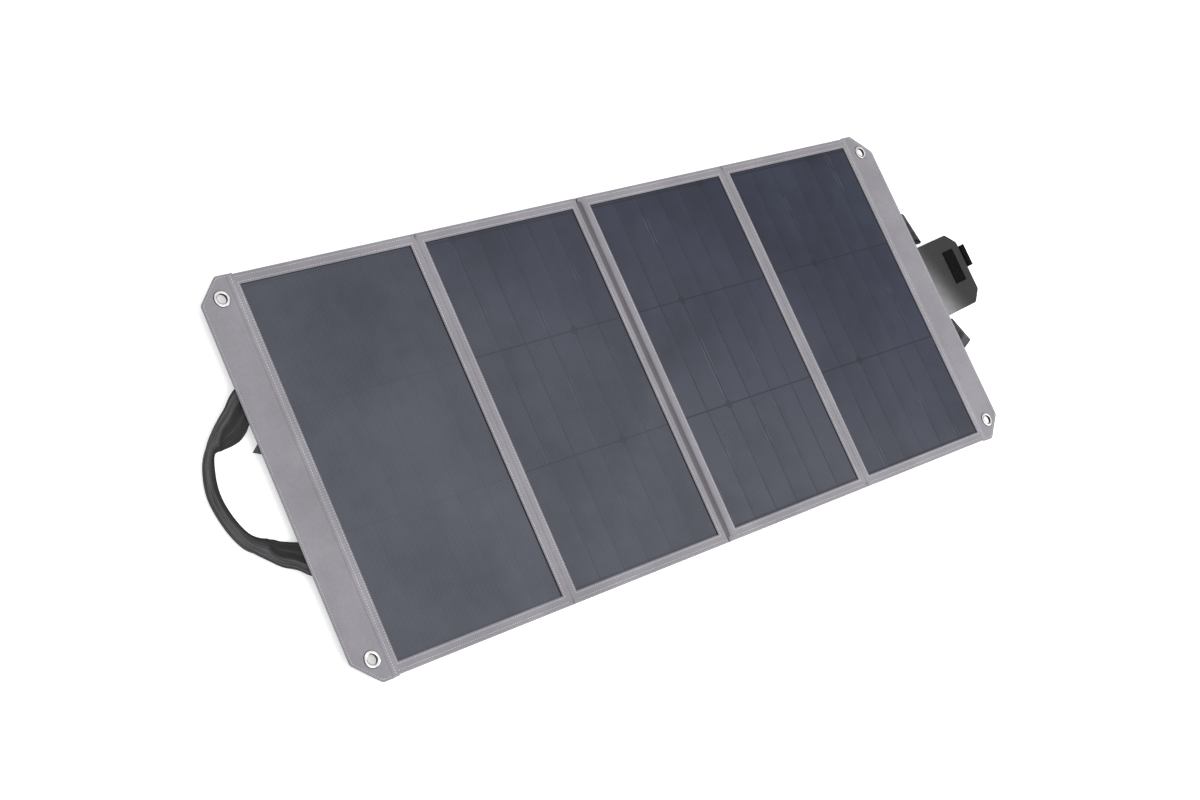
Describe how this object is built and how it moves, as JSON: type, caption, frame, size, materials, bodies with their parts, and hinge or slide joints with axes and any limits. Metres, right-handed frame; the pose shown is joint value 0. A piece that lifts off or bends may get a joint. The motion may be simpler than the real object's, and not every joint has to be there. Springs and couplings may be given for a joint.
{
  "type": "folding solar blanket",
  "caption": "Fabric solar blanket of stiff window panels on fabric hinges, with webbing handles, corner eyelets, closing tab, support legs and an output box in a rear pocket.",
  "frame": {"origin": "centre of the outline, handles and tab included, on the surface that the open blanket lies on", "axes": "+X along the blanket from the handle end to the closing tab, +Y up each panel, +Z out of the face"},
  "size_m": [1.396, 0.52, 0.019],
  "materials": {
    "front_fabric": "mid-grey plain-weave polyester with a coated back",
    "front_film": "finely textured fluoropolymer front film, satin",
    "solar_cells": "dark blue-black silicon wafer",
    "stiffener": "glass-filled laminate board",
    "back_fabric": "dark grey coated polyester",
    "dark_fabric": "dark grey polyester with a stiff core",
    "leg_fabric": "dark grey polyester over a stiff board",
    "webbing": "black woven webbing",
    "lead_sheath": "black sheathed flat lead",
    "eyelet_nickel": "bright nickel plate",
    "hook_fastener": "black hook-and-loop fastener",
    "box_plastic": "black moulded plastic with a fine grain"
  },
  "bodies": {
    "panel_1": {"front_frame_1": "front_fabric", "front_sheet_1": "front_film", "cells_1": "solar_cells", "board_1": "stiffener", "back_cover_1": "back_fabric", "hinge_12_left": "front_fabric", "lead_12_left": "lead_sheath", "left_flap": "front_fabric", "left_eyelet_low": "eyelet_nickel", "left_eyelet_high": "eyelet_nickel", "handle_anchor_left_low": "webbing", "handle_anchor_left_high": "webbing", "landing_tab": "dark_fabric"},
    "panel_2": {"front_frame_2": "front_fabric", "front_sheet_2": "front_film", "cells_2": "solar_cells", "board_2": "stiffener", "back_cover_2": "back_fabric", "hinge_12_right": "front_fabric", "lead_12_right": "lead_sheath", "hinge_23_left": "front_fabric", "lead_23_left": "lead_sheath", "leg_hinge_2": "dark_fabric"},
    "panel_3": {"front_frame_3": "front_fabric", "front_sheet_3": "front_film", "cells_3": "solar_cells", "board_3": "stiffener", "back_cover_3": "back_fabric", "hinge_23_right": "front_fabric", "lead_23_right": "lead_sheath", "hinge_34_left": "front_fabric", "lead_34_left": "lead_sheath", "leg_hinge_3": "dark_fabric"},
    "panel_4": {"front_frame_4": "front_fabric", "front_sheet_4": "front_film", "cells_4": "solar_cells", "board_4": "stiffener", "back_cover_4": "back_fabric", "hinge_34_right": "front_fabric", "lead_34_right": "lead_sheath", "right_flap": "front_fabric", "right_eyelet_low": "eyelet_nickel", "right_eyelet_high": "eyelet_nickel", "handle_anchor_right_low": "webbing", "handle_anchor_right_high": "webbing", "pocket": "back_fabric", "output_box_base": "box_plastic", "output_box_lid": "box_plastic", "regulator_board": "stiffener", "output_socket": "box_plastic"},
    "leg_2": {"leg_2": "leg_fabric", "tether_2": "webbing"},
    "leg_3": {"leg_3": "leg_fabric", "tether_3": "webbing"},
    "handle_left": {"handle_left": "webbing"},
    "handle_right": {"handle_right": "webbing"},
    "closing_tab": {"closing_tab": "dark_fabric", "tab_patch": "hook_fastener", "tab_pull": "webbing"},
    "pocket_flap": {"pocket_flap": "dark_fabric"}
  },
  "joints": [
    {"name": "fold_12", "type": "hinge", "parent": "panel_2", "child": "panel_1", "pos_m": [-0.2915, 0, 0.0195], "axis": [0, 1, 0], "range_deg": [-30, 180]},
    {"name": "fold_23", "type": "hinge", "parent": "panel_2", "child": "panel_3", "pos_m": [-0.011, 0, 0.005], "axis": [0, 1, 0], "range_deg": [0, 180]},
    {"name": "fold_34", "type": "hinge", "parent": "panel_3", "child": "panel_4", "pos_m": [0.2695, 0, 0.0195], "axis": [0, -1, 0], "range_deg": [-30, 180]},
    {"name": "leg_2_swing", "type": "hinge", "parent": "panel_2", "child": "leg_2", "pos_m": [-0.1535, 0.1625, 0.012], "axis": [-1, 0, 0], "range_deg": [-60, 0]},
    {"name": "leg_3_swing", "type": "hinge", "parent": "panel_3", "child": "leg_3", "pos_m": [0.1315, 0.1625, 0.012], "axis": [-1, 0, 0], "range_deg": [-60, 0]},
    {"name": "handle_left_swing", "type": "hinge", "parent": "panel_1", "child": "handle_left", "pos_m": [-0.622, 0, 0.012], "axis": [0, -1, 0], "range_deg": [-90, 90]},
    {"name": "handle_right_swing", "type": "hinge", "parent": "panel_4", "child": "handle_right", "pos_m": [0.602, 0, 0.0085], "axis": [0, -1, 0], "range_deg": [0, 165]},
    {"name": "tab_fold", "type": "hinge", "parent": "panel_4", "child": "closing_tab", "pos_m": [0.5946, 0, 0.0149], "axis": [0, -1, 0], "range_deg": [-90, 70]},
    {"name": "pocket_flap_lift", "type": "hinge", "parent": "panel_4", "child": "pocket_flap", "pos_m": [0.406, 0.0045, 0.0136], "axis": [1, 0, 0], "range_deg": [0, 85]}
  ]
}
